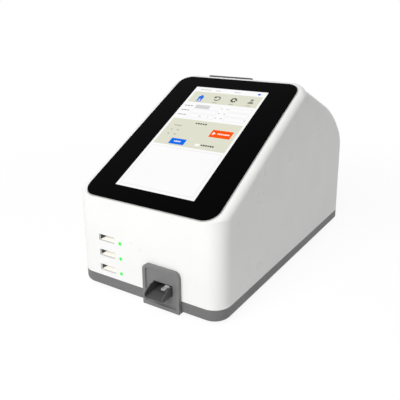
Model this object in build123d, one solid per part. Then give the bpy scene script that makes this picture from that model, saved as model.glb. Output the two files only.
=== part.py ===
"""Bench fluorescence immunoassay analyser: a white moulded housing with a sloping touch screen, a
motor-driven test card tray behind a grey door surround, three incubation slots and a receipt printer.

Millimetres, +Z up. The model is drawn from the front face (y = 0, the tray comes out towards -Y) and the
underside of the base (z = 0), and moved at the end so that the origin is the middle of the footprint,
on the surface that the feet stand on.
"""
from build123d import *
import os
from math import atan, cos, pi, radians, sin, sqrt, tan

# Cover glass, seal and screen
glass_start = 1.7
glass_side_margin = 9.0
glass_head = 20.6
glass_corner_radius = 16.0
glass_thickness = 3.0
glass_proud = 1.0
glass_bevel = 0.5
seal_thickness = 0.5
seal_edge = 0.6
seal_land = 6.0
recess_gap = 0.4
screen_width = 99.4
screen_length = 176.6
screen_start = 21.4
panel_border = 6.0
panel_tail = 9.0
panel_thickness = 5.4
bracket_sheet = 1.2
bracket_ear = 11.0
bracket_flange = 4.0
glass_end = screen_start + screen_length + glass_head

# Housing
body_width = 183.0
rear_length = 124.07
band_height = 14.5
front_height = 102.5
slope_angle = 28.5
ridge_margin = 8.9
ridge_reach = glass_end + ridge_margin
body_depth = ridge_reach * cos(radians(slope_angle)) + rear_length
glass_width = body_width - 2 * glass_side_margin
front_corner_radius = 18.5
edge_radius = 8.0
ridge_corner_radius = 25.0
ridge_block_depth = 70.0
peak_radius = 25.0
shoulder_drop = 103.65
shoulder_height = front_height + ridge_reach * sin(radians(slope_angle)) - shoulder_drop
shoulder_radius = 40.6
shoulder_turn = 40.0
rear_top_radius = 147.5
rear_top_angle = 22.5
wall = 2.5
ledge = 2.0
base_edge_radius = 6.0
lip_height = 2.0
lip_thickness = 1.4
fit_gap = 0.3

# Feet and the screws that hold the base on
foot_radius = 7.0
foot_height = 4.0
foot_recess = 1.5
foot_side_inset = 22.0
foot_end_inset = 26.0
boss_radius = 4.0
boss_height = 24.0
boss_wall_gap = 6.5
boss_front = 34.0
boss_rear_inset = 40.0
screw_radius = 1.5
screw_head_radius = 2.9
screw_head_height = 2.0
screw_length = 12.0

# Incubation slots
slot_count = 3
slot_pitch = 17.2
slot_inset = 42.2
slot_x = slot_inset - body_width / 2
slot_width = 21.6
slot_height = 7.2
slot_top_z = 58.3
slot_depth = 76.0
rack_wall = 1.5
heater_thickness = 1.5
light_inset = 60.5
light_x = light_inset - body_width / 2
light_radius = 1.95
light_length = 13.0
light_dome = 0.5
light_drop = 1.3
light_board_thickness = 1.6

# Door surround
door_inset = 68.2
door_x = body_width / 2 - door_inset
door_width = 45.0
door_top = 45.7
door_bottom = 1.0
door_corner_radius = 6.5
door_proud = 4.0
door_rim = 3.6
door_recess = 1.5
door_plug_inset = 3.4
door_plug_depth = 5.0
mouth_top = 29.4
mouth_side_gap = 0.7

# Test card tray
tray_shift = 2.0
tray_x = door_x + tray_shift
tray_width = 22.6
tray_wall = 1.0
tray_under = 18.3
tray_floor = 2.2
tray_nose = 17.8
nose_lip = 4.5
nose_wall_top = 28.4
nose_wall_start = 8.7
inner_wall_top = 26.4
step_back = 5.0
tray_rear = 168.0
card_stop = 92.0
clip_width = 5.0
clip_length = 5.5
clip_thickness = 1.0
clip_side_gap = 1.9
clip_front = 10.2
clip_pin_radius = 0.6
clip_pivot_back = 2.0

# Rack and pinion
gear_module = 0.8
pinion_teeth = 20
gear_face = 5.0
pressure_angle = 20.0
tooth_backlash = 0.16
rack_backing = 1.0
rack_front = 85.0
pinion_y = 90.0
mesh_play = 0.12
shaft_radius = 2.5
hub_radius = 5.0
hub_height = 3.0

# Tray guide, deck and drive
deck_thickness = 1.5
deck_top = 15.5
deck_side_gap = 21.5
deck_half_width = body_width / 2 - deck_side_gap
deck_front = 9.0
deck_rear = 172.0
deck_corner_radius = 5.0
post_radius = 4.0
post_inset = 4.0
slide_gap = 0.3
guide_wall = 2.0
guide_front = 5.6
guide_rear = 170.0
guide_lip = 1.1
motor_size = 28.0
motor_height = 32.0
motor_corner = 3.5
motor_pilot_radius = 7.0
motor_pilot_height = 1.5
mount_sheet = 2.0

# Reading head
head_length = 46.0
head_width = 38.0
head_height = 30.0
head_front = 28.0
head_gap = 3.0
lens_thickness = 3.5
filter_thickness = 2.0
barrel_radius = 6.5
lamp_tilt = 45.0
lamp_radius = 4.0
sensor_size = 16.0
bridge_sheet = 2.0

# Main board, power supply, fan
supply_width = 46.0
supply_height = 30.0
supply_side_gap = 14.5
supply_deck_gap = 17.5
supply_x = body_width / 2 - supply_side_gap - supply_width / 2
board_side_gap = 15.5
board_supply_gap = 7.0
board_left = board_side_gap - body_width / 2
board_width = supply_x - supply_width / 2 - board_supply_gap - board_left
board_x = board_left + board_width / 2
board_rear_gap = 8.0
board_deck_gap = 21.5
board_length = body_depth - wall - board_rear_gap - deck_rear - board_deck_gap
board_thickness = 1.6
board_z = 24.0
standoff_radius = 3.0
fan_size = 50.0
fan_depth = 15.0
fan_inset = 49.5
fan_x = fan_inset - body_width / 2
fan_rise = 0.541
fan_bore = 23.0
fan_hub = 11.0
fan_blades = 7
blade_pitch = 38.0
blade_gap = 0.8
vent_slots = 9
vent_slot_width = 3.0
fan_screw_pitch = 20.0
board_parts = (
    (-0.28, 0.25, 20.0, 20.0, 1.6),
    (0.12, 0.30, 14.0, 14.0, 1.4),
    (0.34, 0.12, 8.0, 26.0, 7.0),
    (-0.05, 0.62, 30.0, 6.0, 6.0),
    (0.36, 0.60, 12.0, 12.0, 9.0),
    (-0.36, 0.66, 10.0, 16.0, 5.0),
)

# Rear sockets and switch
inlet_inset = 33.5
inlet_x = body_width / 2 - inlet_inset
inlet_z = 44.0
inlet_width = 27.0
inlet_height = 19.5
inlet_flange = 2.0
inlet_flange_margin = 3.0
inlet_depth = 18.0
pin_width = 2.0
pin_length = 4.0
pin_reach = 12.0
switch_x = inlet_x
switch_z = 76.0
switch_width = 13.0
switch_height = 19.0
switch_flange = 1.5
switch_depth = 16.0
rocker_tilt = 8.0
usb_width = 13.1
usb_height = 5.7
usb_depth = 14.0
network_width = 16.0
network_height = 13.4
network_depth = 18.0
usb_inset = 48.0
usb_first_x = board_left + usb_inset
usb_pitch = 19.0
network_inset = 20.0
network_x = board_left + network_inset
socket_proud = 0.5

# Receipt printer, laid out along the rear top: v runs down it from the fold, w is square to it
printer_inset = 70.5
printer_x = printer_inset - body_width / 2
roll_radius = 23.0
roll_length = 57.5
roll_core_radius = 6.5
roll_gap = 0.4
roll_depth = 30.0
roll_v = 27.5
bucket_wall = 2.0
bucket_width = 60.0
flange_side = 6.0
flange_front = 0.8
flange_rear = 60.0
flange_height = 3.0
lid_gap = 0.3
lid_thickness = 2.6
lid_width = 61.0
lid_front = 5.4
hinge_v = 55.0
hinge_w = 5.0
hinge_pin_radius = 1.25
pin_play = 0.05
knuckle_radius = 2.8
knuckle_length = 7.0
ear_width = 3.0
tab_tip_v = -7.5
tab_tip_w = 11.5
tab_root_v = 12.0
tab_thickness = 1.8
tab_flare = 1.4
platen_radius = 5.0
platen_length = 52.0
platen_v = 12.0
platen_w = -3.5
platen_shaft_radius = 1.5
arm_thickness = 2.0
arm_reach = 4.2
print_head_width = 50.0
print_head_top = -3.5
print_head_bottom = -12.0
platen_gap = 0.3
tear_bar_height = 1.6

# Small sizes of single pieces
usb_count = 2
slot_corner = 0.6
light_play = 0.05
light_board_half = 4.5
bed_thickness = 1.5
bed_groove = 7.0
rack_front_low = 17.0
rib_thickness = 2.0
screw_play = 0.2
screw_sink = 3.0
deck_screw_length = 8.0
post_end_inset = 8.0
foot_chamfer = 0.8
floor_vent_length = 60.0
vent_pitch = 5.0
bracket_screw_radius = 1.2
bracket_rib_width = 8.0
seal_top = 0.4
door_wrap = 4.3
door_wrap_top = 9.0
door_lower_round = 2.5
door_sill = 4.0
door_bevel = 20.0
nose_step = 1.5
nose_edge = 0.6
ramp_start = 6.0
stop_wall = 2.0
stop_drop = 2.0
window_half = 4.0
window_back = 24.0
gear_low = 19.0
shaft_hold = 14.0
guide_lid = 1.5
motor_clearance = 1.3
motor_band = 7.0
mount_foot = 6.0
clip_pin_z = 27.4
clip_corner = 0.6
clip_knuckle_radius = 1.2
bead_length = 90.0
bead_width = 5.0
bead_shift = 20.0
lamp_distance = 24.0
lamp_length = 24.0
lamp_cap = 16.0
lamp_fins = 3
lamp_fin_pitch = 2.0
lamp_fin_reach = 2.5
lens_raise = 2.0
head_chamfer = 1.5
sensor_height = 5.0
sensor_shift = 4.0
bridge_inset = 5.0
bridge_foot = 9.0
supply_fins = 5
supply_gap = 4.0
fan_corner = 3.0
fan_arms = 3
fan_arm_width = 3.0
fan_seat = 2.5
fan_spindle = 1.5
blade_chord = 14.0
blade_thickness = 1.0
inlet_wall = 1.5
inlet_corner = 4.0
pin_pitch = 7.0
pin_rise = 2.0
rocker_width = 9.4
rocker_tall = 14.8
rocker_gap = 0.35
rocker_room = 0.8
rocker_stub = 0.9
rocker_stub_radius = 1.2
rocker_set_back = 3.4
rocker_dip = 2.2
rocker_crest = 4.4
rocker_belly = 3.5
ear_gap = 1.0
flange_corner = 4.0
arm_gap = 0.7
tab_taper = 3.4
tab_corner = 1.5
shaft_collar_gap = 0.3
tear_bar_depth = 2.0
tear_bar_bite = 0.6
tear_teeth = 29
bite = 0.1
boss_root = 0.5
bed_groove_width = 0.6
bed_groove_depth = 0.3
motor_neck = 0.5
clip_dent_share = 2.6
sensor_board_margin = 2.4
sensor_can_corner = 1.0
supply_sheet = 1.0
supply_lip = 10.0
supply_groove = 1.5
supply_fin_inset = 8.0
supply_fin_half = 1.0
fan_arm_root = 0.5
fan_hub_round = 1.5
fan_spindle_share = 0.7
rocker_edge = 0.2
rocker_shoulder = 1.0
socket_sheet = 0.4
usb_back = 1.5
usb_tongue = 2.2
network_back = 3.0
network_side = 2.0
network_step = 4.0
network_floor = 1.5
screw_end_gap = 1.0

# Values worked out from the ones above
half = body_width / 2
sn = sin(radians(slope_angle))
cs = cos(radians(slope_angle))
slope_wall = glass_thickness - glass_proud + seal_thickness + ledge
recess_depth = glass_thickness - glass_proud + seal_thickness
foot_drop = foot_height - foot_recess
rear_reach = body_depth + inlet_flange
panel_depth = glass_thickness - glass_proud + panel_thickness
deck_under = deck_top - deck_thickness
supply_front = deck_rear + supply_deck_gap
supply_length = body_depth - wall - inlet_depth - supply_gap - supply_front
network_top = board_z + board_thickness + network_height
fan_z = network_top + fan_rise * (shoulder_height - network_top)
trough = roll_radius + roll_gap + bucket_wall
bucket_half = bucket_width / 2 + bucket_wall
well_cut = 3 * wall
centre_y = (rear_reach - tray_nose) / 2
row_place = Location((0, -centre_y, foot_drop))
slope_plane = Plane(origin=(0, 0, front_height), x_dir=(1, 0, 0), z_dir=(0, -sn, cs))


def block(x, y, z):
    """A box given by its lowest and highest value along each axis."""
    size = (x[1] - x[0], y[1] - y[0], z[1] - z[0])
    middle = ((x[0] + x[1]) / 2, (y[0] + y[1]) / 2, (z[0] + z[1]) / 2)
    return Pos(*middle) * Box(*size)


def rod(radius, start, direction, length):
    """A round bar from a point along a direction."""
    return Plane(origin=start, z_dir=direction) * extrude(Circle(radius), length)


def rounded_plate(width, length, radius, thickness):
    """A plate with rounded corners, centred, standing on z = 0."""
    return extrude(RectangleRounded(width, length, radius), thickness)


def side_profile(inset, slope_inset):
    """The housing seen from its side: slope, rounded peak, rear top, shoulder and back."""
    rear_up = Vector(0, -cos(radians(rear_top_angle)), sin(radians(rear_top_angle)))
    back = Line((0, body_depth - inset, -band_height), (0, body_depth - inset, shoulder_height))
    shoulder = yz_arc(back @ 1, (0, 0, 1), shoulder_radius - inset, shoulder_turn)
    rear_turn = 90 - rear_top_angle - shoulder_turn
    hump = yz_arc(shoulder @ 1, shoulder % 1, rear_top_radius - inset, rear_turn)
    start = hump @ 1
    along = Vector(0, cs, sn)
    base = Vector(0, 0, front_height) - Vector(0, -sn, cs) * slope_inset
    peak = crossing(base, along, start, rear_up)
    set_back = (peak_radius - inset) * tan(radians((slope_angle + rear_top_angle) / 2))
    rear_end = peak - rear_up * set_back
    slope_end = peak - along * set_back
    rear_line = Line(start, rear_end)
    turn = slope_angle + rear_top_angle
    crown = yz_arc(rear_end, rear_up, peak_radius - inset, turn)
    front_low = slope_end - along * (slope_end.Y + body_depth / 4) / cs
    slope_line = Line(crown @ 1, front_low)
    drop = Line(front_low, (0, front_low.Y, -band_height))
    close = Line(drop @ 1, back @ 0)
    return make_face([back, shoulder, hump, rear_line, crown, slope_line, drop, close])


def yz_arc(start, direction, radius, turn):
    """An arc in the side view that leaves a point along a direction and turns towards the front."""
    direction = Vector(*direction).normalized()
    inward = Vector(0, -direction.Z, direction.Y)
    angle = radians(turn)
    start = Vector(*start)

    def at(part):
        swing = direction * sin(part) + inward * (1 - cos(part))
        return start + swing * radius

    return ThreePointArc(at(0), at(angle / 2), at(angle))


def crossing(point_a, along_a, point_b, along_b):
    """Where two lines in the side view cross."""
    across = along_a.Y * along_b.Z - along_a.Z * along_b.Y
    gap = point_b - point_a
    reach = (gap.Y * along_b.Z - gap.Z * along_b.Y) / across
    return point_a + along_a * reach


def plan_outline(inset, height, low):
    """The footprint with rounded front corners, run past the back so that it trims only the front."""
    overrun = body_depth
    length = body_depth + overrun - inset
    sketch = Pos(0, inset + length / 2) * Rectangle(body_width - 2 * inset, length)
    front = sketch.vertices().sort_by(Axis.Y)[:2]
    sketch = fillet(front, front_corner_radius - inset)
    return Pos(0, 0, low) * extrude(sketch, height)


def body_form(inset, slope_inset):
    """The housing's whole form, drawn in by a wall; the same function cuts its cavity."""
    width = body_width - 2 * inset
    trunk = extrude(side_profile(inset, slope_inset), width / 2, dir=(1, 0, 0), both=True)
    sides = trunk.edges().filter_by(lambda e: abs(abs(e.center().X) - width / 2) < 0.01)
    low = -band_height + 0.01
    soft = [e for e in sides if e.center().Z > low and e.center().Y > -body_depth / 4 + 0.01]
    trunk = fillet(soft, edge_radius - inset)
    trunk = trunk & plan_outline(inset, 2 * body_depth, 0)
    return trunk + ridge_block(inset, slope_inset)


def ridge_block(inset, slope_inset):
    """The raised top end of the slope, with large round corners, square to the glass."""
    top = ridge_reach - inset
    length = ridge_block_depth
    width = body_width - 2 * inset
    sketch = Pos(0, top - length / 2) * Rectangle(width, length)
    corners = sketch.vertices().sort_by(Axis.Y)[-2:]
    sketch = fillet(corners, ridge_corner_radius - inset)
    solid = extrude(sketch, -ridge_block_depth)
    upper = solid.edges().group_by(Axis.Z)[-1]
    rounded = [e for e in upper if e.center().Y > top - length + 0.01]
    solid = fillet(rounded, edge_radius - inset)
    return slope_plane * Pos(0, 0, -slope_inset) * solid


rear_sn = sin(radians(rear_top_angle))
rear_cs = cos(radians(rear_top_angle))


def rear_top_start():
    """A point of the flat rear top, straight above where the ridge's back face reaches it."""
    back = Vector(0, body_depth, shoulder_height)
    shoulder = yz_arc(back, (0, 0, 1), shoulder_radius, shoulder_turn)
    rear_turn = 90 - rear_top_angle - shoulder_turn
    hump = yz_arc(shoulder @ 1, shoulder % 1, rear_top_radius, rear_turn)
    corner = Vector(0, 0, front_height) + Vector(0, cs, sn) * ridge_reach
    return crossing(corner, Vector(0, sn, -cs), hump @ 1, Vector(0, -rear_cs, rear_sn))


fold = rear_top_start()
printer_plane = Plane(
    origin=(printer_x, fold.Y, fold.Z), x_dir=(1, 0, 0), z_dir=(0, rear_sn, rear_cs)
)


def slot_levels():
    """Heights of the slots' middles, from the top one down."""
    return [slot_top_z - i * slot_pitch for i in range(slot_count)]


def boss_places():
    """Where the base is screwed to the housing."""
    across = half - wall - boss_wall_gap
    return [(s * across, y) for s in (-1, 1) for y in (boss_front, body_depth - boss_rear_inset)]


def post_places():
    """Where the deck stands on the base."""
    ends = (deck_front + post_end_inset, deck_rear - post_end_inset)
    return [(s * (deck_half_width - post_inset), y) for s in (-1, 1) for y in ends]


def glass_outline(grow):
    """The cover glass's outline on the slope, grown by a margin."""
    width = glass_width + 2 * grow
    length = glass_end - glass_start + 2 * grow
    middle = (glass_start + glass_end) / 2
    return Pos(0, middle) * RectangleRounded(width, length, glass_corner_radius + grow)


def on_slope(sketch, low, high):
    """A sketch on the slope made solid between two heights square to it."""
    return slope_plane * extrude(Pos(0, 0, low) * sketch, high - low)


def panel_outline(grow):
    """The screen module's outline on the slope."""
    low = screen_start - panel_tail - grow
    high = screen_start + screen_length + panel_border + grow
    width = screen_width + 2 * panel_border + 2 * grow
    return Pos(0, (low + high) / 2) * Rectangle(width, high - low)


def ear_places():
    """Where the screen's frame is screwed up to the housing, on the slope."""
    across = screen_width / 2 + panel_border + bracket_ear / 2
    ends = (screen_start + bracket_ear, screen_start + screen_length - bracket_ear)
    return [(s * across, u) for s in (-1, 1) for u in ends]


def rear_sockets():
    """Middle, width, low and height of each socket on the main board's rear edge."""
    low = board_z + board_thickness
    usb = [(usb_first_x + i * usb_pitch, usb_width, low, usb_height) for i in range(usb_count)]
    return usb + [(network_x, network_width, low, network_height)]


def door_outline(grow, low):
    """The door surround seen from the front; its top corners are round."""
    width = door_width + 2 * grow
    height = door_top + grow - low
    sketch = Pos(door_x, low + height / 2) * Rectangle(width, height)
    top = sketch.vertices().sort_by(Axis.Y)[-2:]
    return fillet(top, door_corner_radius + grow)


def upper_housing():
    """The white moulding, hollow, with its glass seat, front openings, printer well and rear cut-outs."""
    shell = body_form(0, 0) - body_form(wall, slope_wall)
    shell = shell & block((-half, half), (-1, body_depth + 1), (band_height, body_depth))
    shell -= on_slope(glass_outline(seal_edge + recess_gap), -recess_depth, glass_thickness)
    shell -= on_slope(panel_outline(recess_gap), -2 * slope_wall, 0)
    for x, u in ear_places():
        boss = Pos(x, u) * Circle(boss_radius)
        hole = Pos(x, u) * Circle(bracket_screw_radius)
        shell += on_slope(boss, -panel_depth, -slope_wall + boss_root)
        shell -= on_slope(hole, -panel_depth, -slope_wall)
    for x, y in boss_places():
        shell += rod(boss_radius, (x, y, band_height), (0, 0, 1), boss_height)
        side = 1 if x > 0 else -1
        rib_x = sorted((x, side * (half - wall / 2)))
        rib_z = (band_height + 2 * lip_height, band_height + boss_height)
        shell += block(rib_x, (y - rib_thickness / 2, y + rib_thickness / 2), rib_z)
        shell -= rod(screw_radius, (x, y, band_height), (0, 0, 1), screw_length)
    for z in slot_levels():
        opening = Pos(slot_x, z) * RectangleRounded(slot_width, slot_height, slot_corner)
        shell -= Plane.XZ * extrude(opening, 2 * wall, both=True)
        shell -= rod(light_radius + light_play, (light_x, -1, z - light_drop), (0, 1, 0), 2 * wall)
    inset = door_plug_inset - fit_gap
    plug_x = (door_x - door_width / 2 + inset, door_x + door_width / 2 - inset)
    shell -= block(plug_x, (-1, 2 * wall), (0, door_top - inset))
    well = block(
        (-bucket_half - fit_gap, bucket_half + fit_gap),
        (roll_v - trough - fit_gap, roll_v + trough + fit_gap),
        (-well_cut, well_cut),
    )
    shell -= printer_plane * well
    back = (body_depth - 2 * wall, body_depth + 1)
    for x, width, low, height in rear_sockets():
        span = (x - width / 2 - fit_gap, x + width / 2 + fit_gap)
        shell -= block(span, back, (low - fit_gap, low + height + fit_gap))
    for x, z, width, height in (
        (inlet_x, inlet_z, inlet_width, inlet_height),
        (switch_x, switch_z, switch_width, switch_height),
    ):
        span = (x - width / 2 - fit_gap, x + width / 2 + fit_gap)
        shell -= block(span, back, (z - height / 2 - fit_gap, z + height / 2 + fit_gap))
    for i in range(vent_slots):
        off = (i - (vent_slots - 1) / 2) * vent_pitch
        reach = sqrt(fan_bore ** 2 - off ** 2)
        slot = Pos(fan_x + off, fan_z) * SlotOverall(2 * reach, vent_slot_width, rotation=90)
        shell -= Plane.XZ.offset(-body_depth) * extrude(slot, 2 * wall, both=True)
    return shell


def base_outline(inset, low, height):
    """The base's footprint, with the same corners as the housing."""
    width = body_width - 2 * inset
    sketch = Pos(0, body_depth / 2) * Rectangle(width, body_depth - 2 * inset)
    corners = sketch.vertices().sort_by(Axis.Y)
    sketch = fillet(corners[:2], front_corner_radius - inset)
    rear = sketch.vertices().sort_by(Axis.Y)[-2:]
    sketch = fillet(rear, edge_radius - inset)
    return Pos(0, 0, low) * extrude(sketch, height)


def base_tray():
    """The grey base: a shallow tray with a round lower edge, a locating lip, posts and vents."""
    tray = base_outline(0, 0, band_height)
    tray = fillet(tray.faces().sort_by(Axis.Z)[0].edges(), base_edge_radius)
    cavity = base_outline(wall, wall, band_height)
    tray -= fillet(cavity.faces().sort_by(Axis.Z)[0].edges(), base_edge_radius - wall)
    lip_inset = wall + fit_gap
    lip = base_outline(lip_inset, band_height - lip_height, 2 * lip_height)
    lip += base_outline(wall - bite, band_height - 2 * lip_height, 2 * lip_height)
    lip -= base_outline(lip_inset + lip_thickness, 0, 2 * band_height)
    rack = rack_span()
    lip -= block((rack[0] - 1, light_x + light_board_half + 1), (0, 2 * wall + 1), (0, 2 * band_height))
    tray += lip
    for x, y in post_places():
        tray += rod(post_radius, (x, y, wall - bite), (0, 0, 1), deck_under - wall + bite)
        tray -= rod(screw_radius, (x, y, deck_under), (0, 0, -1), deck_screw_length)
    for x, y in boss_places():
        tray += rod(boss_radius, (x, y, wall - bite), (0, 0, 1), band_height - wall + bite)
        tray -= rod(screw_radius + screw_play, (x, y, 0), (0, 0, 1), band_height)
        tray -= rod(screw_head_radius + screw_play, (x, y, 0), (0, 0, 1), screw_sink)
    for x, y in foot_places():
        tray -= rod(foot_radius, (x, y, 0), (0, 0, 1), foot_recess)
    inset = door_plug_inset - fit_gap
    plug_x = (door_x - door_width / 2 + inset, door_x + door_width / 2 - inset)
    tray -= block(plug_x, (-1, 2 * wall + 1), (door_wrap_top, 2 * band_height))
    side = door_width / 2 + fit_gap
    tray -= block((door_x - side, door_x + side), (-1, door_wrap + fit_gap), (-1, door_wrap_top))
    middle_y = supply_front + supply_length / 2
    for i in range(vent_slots):
        x = supply_x + (i - (vent_slots - 1) / 2) * vent_pitch
        slot = Pos(x, middle_y) * SlotOverall(floor_vent_length, vent_slot_width, rotation=90)
        tray -= extrude(slot, wall, both=True)
    return tray


def foot_places():
    """Where the feet are pressed in."""
    across = half - foot_side_inset
    return [(s * across, y) for s in (-1, 1) for y in (foot_end_inset, body_depth - foot_end_inset)]


def rubber_feet():
    """Four soft feet, slightly tapered, pressed into the base."""
    feet = []
    for x, y in foot_places():
        foot = rod(foot_radius, (x, y, -foot_drop), (0, 0, 1), foot_height)
        feet.append(chamfer(foot.faces().sort_by(Axis.Z)[0].edges(), foot_chamfer))
    return feet


def pan_screw(x, y, top, length, up):
    """A pan head screw: its head's seat is at top, and its shank runs up or down from it."""
    way = 1 if up else -1
    head = rod(screw_head_radius, (x, y, top - way * screw_head_height), (0, 0, way), screw_head_height)
    rim = head.faces().sort_by(Axis.Z)[0 if up else -1].edges()
    head = fillet(rim, screw_head_height / 3)
    return head + rod(screw_radius, (x, y, top - way * bite), (0, 0, way), length + bite)


def base_screws():
    """The screws that hold the base on, up from below."""
    length = band_height - screw_sink + screw_length - screw_end_gap
    return [pan_screw(x, y, screw_sink, length, True) for x, y in boss_places()]


def deck_screws():
    """The screws that hold the deck on its posts."""
    length = deck_thickness + deck_screw_length - screw_end_gap
    return [pan_screw(x, y, deck_top, length, False) for x, y in post_places()]


def cover_glass():
    """The black-backed glass over the slope, with a fine bevel round its upper edge."""
    low = glass_proud - glass_thickness
    plate = extrude(glass_outline(0), glass_thickness)
    plate = chamfer(plate.faces().sort_by(Axis.Z)[-1].edges(), glass_bevel)
    return slope_plane * Pos(0, 0, low) * plate


def glass_seal():
    """A pale frame under the glass that turns up round its edge."""
    low = glass_proud - glass_thickness
    frame = on_slope(glass_outline(seal_edge), low - seal_thickness, seal_top)
    frame -= on_slope(glass_outline(0), low, glass_thickness)
    return frame - on_slope(glass_outline(-seal_land), low - 2 * seal_thickness, low + seal_thickness)


def display_panel():
    """The screen module, bonded to the back of the glass."""
    low = glass_proud - glass_thickness
    panel = on_slope(panel_outline(0), low - panel_thickness, low)
    tail = Pos(0, screen_start - panel_tail / 2) * Rectangle(screen_width / 3, panel_tail / 2)
    return panel - on_slope(tail, -panel_depth, -panel_depth + bracket_sheet)


def display_bracket():
    """A pressed steel pan behind the screen module, with four ears and two stiffening ribs."""
    sheet = panel_outline(0)
    for x, u in ear_places():
        side = 1 if x > 0 else -1
        sheet += Pos(x - side * bracket_ear / 4, u) * Rectangle(1.5 * bracket_ear, bracket_ear)
    for x, u in ear_places():
        sheet -= Pos(x, u) * Circle(bracket_screw_radius + screw_play)
    pan = on_slope(sheet, -panel_depth - bracket_sheet, -panel_depth)
    middle = screen_start + screen_length / 2
    for side in (-1, 1):
        rib = Pos(side * screen_width / 4, middle) * SlotOverall(
            screen_length * 0.8, bracket_rib_width, rotation=90
        )
        pan += on_slope(rib, -panel_depth - bracket_flange, -panel_depth - bracket_sheet / 2)
    return pan


def bracket_screws():
    """The screws of the screen's frame, put in from inside the housing."""
    screws = []
    for x, u in ear_places():
        seat = -panel_depth - bracket_sheet
        shank = on_slope(Pos(x, u) * Circle(bracket_screw_radius), seat - bite, -slope_wall - 0.2)
        head = Pos(x, u) * Circle(boss_radius * 0.75)
        screws.append(shank + on_slope(head, seat - screw_head_height, seat))
    return screws


def door_surround():
    """The grey surround of the tray mouth: a raised frame, a sunk panel and a plug through the wall."""
    frame = Plane.XZ * extrude(door_outline(0, door_bottom), door_proud)
    frame = fillet(frame.edges().filter_by(Axis.X).sort_by(Axis.Z)[0], door_lower_round)
    frame += block(
        (door_x - door_width / 2, door_x + door_width / 2),
        (-bite, door_wrap),
        (door_bottom, door_wrap_top - fit_gap),
    )
    inset = door_plug_inset
    plug_x = (door_x - door_width / 2 + inset, door_x + door_width / 2 - inset)
    frame += block(plug_x, (-bite, door_plug_depth), (door_wrap_top - 1, door_top - inset))
    sunk = door_outline(-door_rim, door_bottom + door_sill)
    pocket = extrude(Plane.XZ.offset(door_proud) * sunk, -door_recess, taper=door_bevel)
    frame -= pocket
    side = tray_width / 2 + mouth_side_gap
    mouth = block(
        (tray_x - side, tray_x + side),
        (-2 * door_proud, 2 * door_plug_depth),
        (tray_under - mouth_side_gap, mouth_top),
    )
    return frame - mouth


def tray_pocket(front, rear, floor):
    """The room between the tray's walls from a floor up."""
    side = tray_width / 2 - tray_wall
    return block((tray_x - side, tray_x + side), (front, rear), (floor, 2 * nose_wall_top))


def card_tray():
    """The sliding tray: a chute-like nose, a bed for the card with its stop, and the rack."""
    top = tray_under + tray_floor
    outline = Polyline(
        (0, -tray_nose, tray_under),
        (0, tray_rear, tray_under),
        (0, tray_rear, inner_wall_top),
        (0, step_back, inner_wall_top),
        (0, step_back - nose_step, nose_wall_top),
        (0, -nose_wall_start, nose_wall_top),
        (0, -tray_nose, tray_under + nose_lip),
        close=True,
    )
    side = make_face(outline)
    tray = Pos(tray_x, 0, 0) * extrude(side, tray_width / 2, dir=(1, 0, 0), both=True)
    ramp = Polyline(
        (0, -tray_nose - 1, tray_under + nose_edge),
        (0, -tray_nose, tray_under + nose_edge),
        (0, -ramp_start, top),
        (0, card_stop, top),
        (0, card_stop, 2 * nose_wall_top),
        (0, -tray_nose - 1, 2 * nose_wall_top),
        close=True,
    )
    bed = extrude(make_face(ramp), tray_width / 2 - tray_wall, dir=(1, 0, 0), both=True)
    tray -= Pos(tray_x, 0, 0) * bed
    tray -= tray_pocket(card_stop + stop_wall, tray_rear - stop_wall, top)
    tray -= tray_pocket(card_stop - 1, card_stop + stop_wall + 1, inner_wall_top - stop_drop)
    slot = block(
        (tray_x - window_half, tray_x + window_half),
        (card_stop - window_back, card_stop - window_back / 3),
        (0, top + 1),
    )
    tray -= slot
    hole_y = clip_pin_y()
    tray -= rod(clip_pin_radius, (tray_x, hole_y, clip_pin_z), (1, 0, 0), tray_width)
    return tray + tray_rack()


def tray_rack():
    """The rack on the tray's side: straight flanks, one tooth standing level with the pinion."""
    root = rack_root()
    tip = root + gear_module * 2.25
    pitch = pi * gear_module
    slope = tan(radians(pressure_angle))
    half_tooth = pitch / 4 - tooth_backlash / 2
    at_tip = half_tooth - gear_module * slope
    at_root = half_tooth + gear_module * 1.25 * slope
    first = int((rack_front + pitch - pinion_y) / pitch)
    last = int((tray_rear - pitch - pinion_y) / pitch)
    points = [(tray_x + tray_width / 2 - 0.2, rack_front), (root, rack_front)]
    for i in range(first, last + 1):
        y = pinion_y + i * pitch
        points += [(root, y - at_root), (tip, y - at_tip), (tip, y + at_tip), (root, y + at_root)]
    points += [(root, tray_rear), (tray_x + tray_width / 2 - 0.2, tray_rear)]
    outline = make_face(Polyline(*points, close=True))
    return Pos(0, 0, gear_low) * extrude(outline, gear_face)


def rack_root():
    return tray_x + tray_width / 2 + rack_backing


def pinion_x():
    """The pinion's shaft stands one pitch radius and a little play outside the rack's pitch line."""
    pitch_line = rack_root() + 1.25 * gear_module
    return pitch_line + gear_module * pinion_teeth / 2 + mesh_play


def involute_point(base, radius, start):
    """The point at a radius on an involute that leaves the base circle at an angle."""
    roll = sqrt(max(radius ** 2 / base ** 2 - 1, 0))
    angle = start + roll - atan(roll)
    return (radius * cos(angle), radius * sin(angle))


def mirrored(point, angle):
    """A point reflected in the line through the centre at an angle."""
    double = 2 * angle
    x = point[0] * cos(double) + point[1] * sin(double)
    y = point[0] * sin(double) - point[1] * cos(double)
    return (x, y)


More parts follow.
